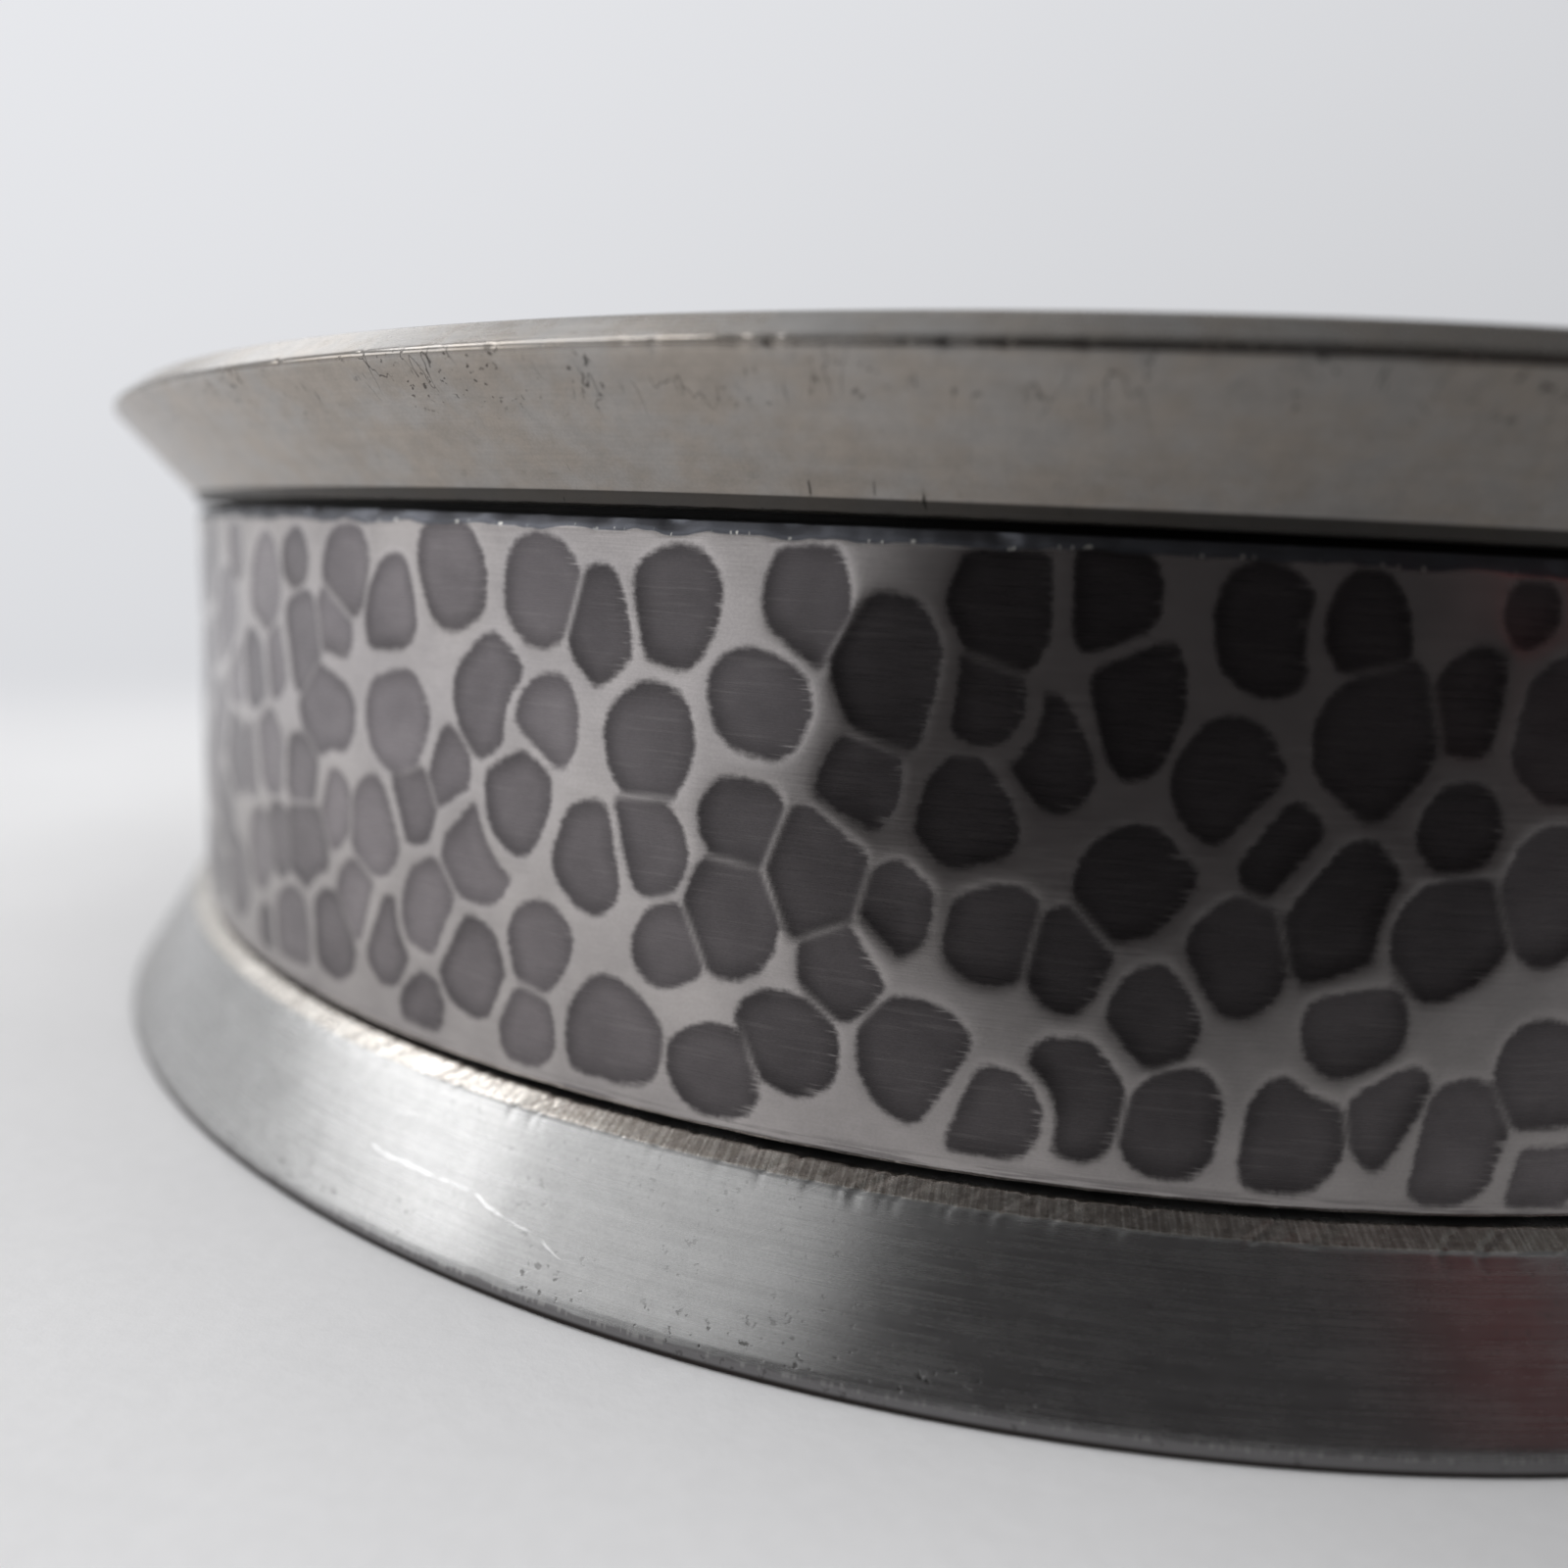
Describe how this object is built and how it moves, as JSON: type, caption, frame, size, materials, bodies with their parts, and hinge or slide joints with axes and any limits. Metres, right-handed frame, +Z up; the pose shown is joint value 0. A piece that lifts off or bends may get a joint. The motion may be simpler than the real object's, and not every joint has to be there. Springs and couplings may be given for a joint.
{
  "type": "paten plate",
  "caption": "Low round footed paten plate: shallow dish on a short drum with flared rim and foot collars and a hammered band that turns between them.",
  "frame": {"origin": "centre of the foot's bottom face, on the table", "axes": "+Z up along the axis of the dish and of the turning band; X and Y lie in the table plane"},
  "size_m": [0.14, 0.14, 0.0384],
  "materials": {
    "rim_metal": "satin, warm grey, fine lengthwise brushing and tiny pits",
    "foot_metal": "satin, brushed round the cone, scratched",
    "band_metal": "hammered, dark patina in the hollows, polished ridges",
    "dish_metal": "satin, spun",
    "sleeve_metal": "turned",
    "base_metal": "satin, spun",
    "fastener_metal": "plain bright steel"
  },
  "bodies": {
    "plate_body": {"dish_plate": "dish_metal", "rim_collar": "rim_metal", "inner_sleeve": "sleeve_metal", "foot_collar": "foot_metal", "base_plate": "base_metal", "centre_stud": "fastener_metal", "clamp_washer": "fastener_metal", "clamp_nut": "fastener_metal"},
    "band": {"hammered_band": "band_metal"}
  },
  "joints": [
    {"name": "band_spin", "type": "hinge", "parent": "plate_body", "child": "band", "pos_m": [0, 0, 0.0194], "axis": [0, 0, 1], "continuous": true}
  ]
}
